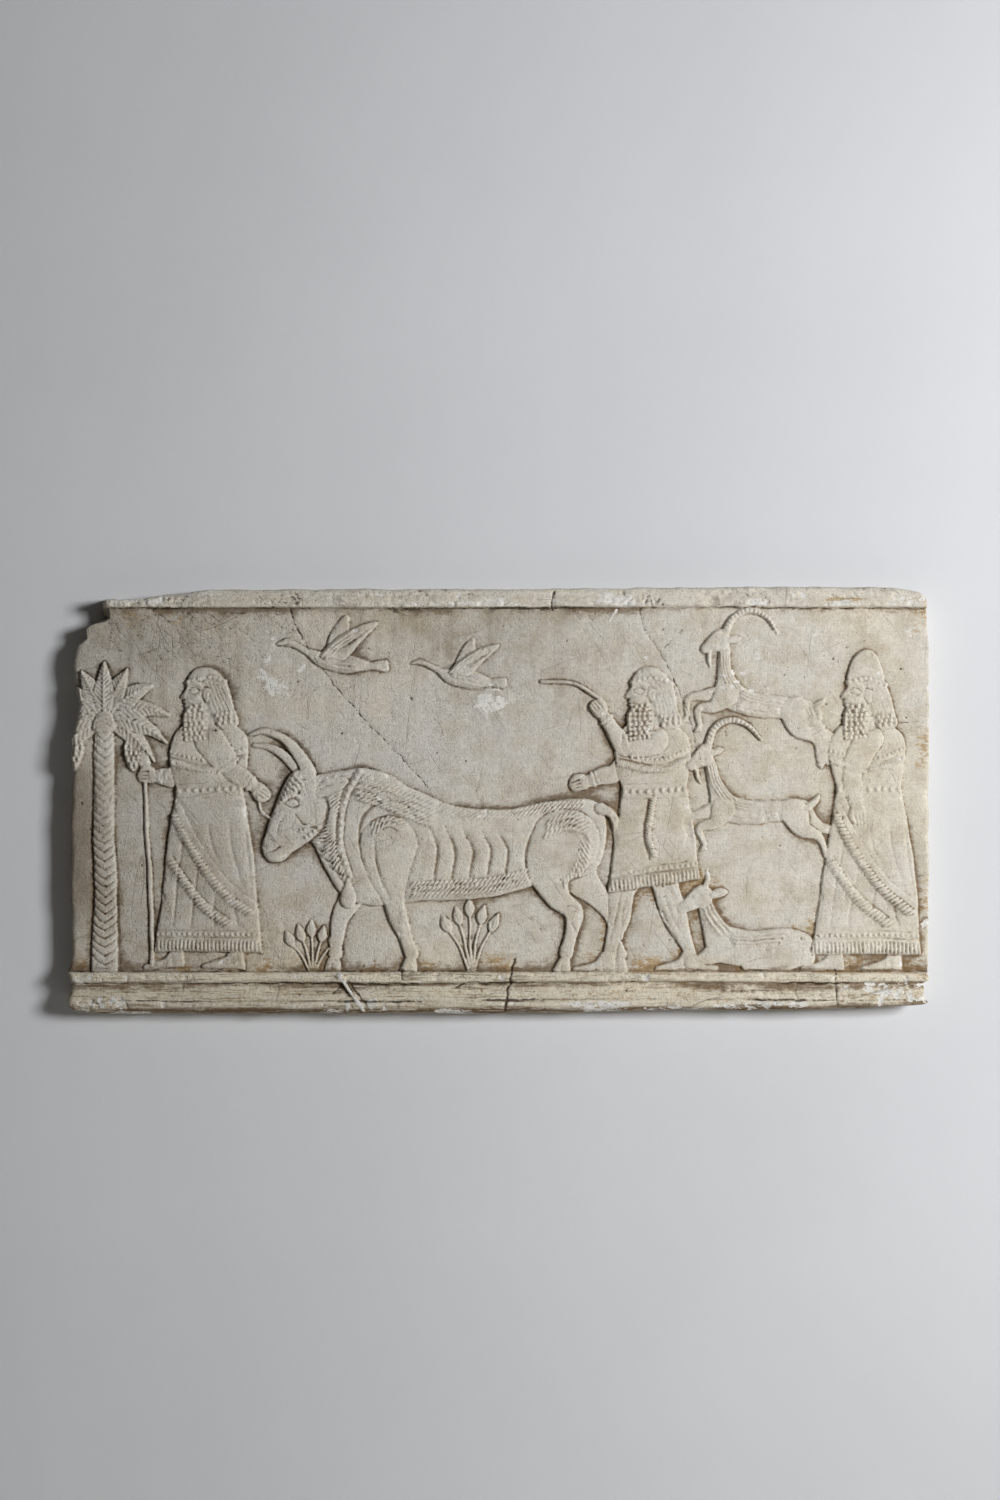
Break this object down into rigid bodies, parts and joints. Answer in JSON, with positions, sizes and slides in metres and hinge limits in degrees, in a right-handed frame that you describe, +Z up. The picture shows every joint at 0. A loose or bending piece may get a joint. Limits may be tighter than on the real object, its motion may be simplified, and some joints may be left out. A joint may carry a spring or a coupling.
{
  "type": "plaster relief plaque",
  "caption": "Oblong cast plaster wall plaque with a worn low relief of a herding procession, a plain top band and a stepped foot moulding; one corner is broken away.",
  "frame": {"origin": "middle of the flat back, where it lies against the wall", "axes": "+X along the plaque to the viewer's right, +Y into the wall (the relief faces -Y), +Z up"},
  "size_m": [1.2058, 0.049, 0.598],
  "materials": {
    "plaster": "matte"
  },
  "bodies": {
    "root": {"plaque": "plaster"}
  },
  "joints": []
}
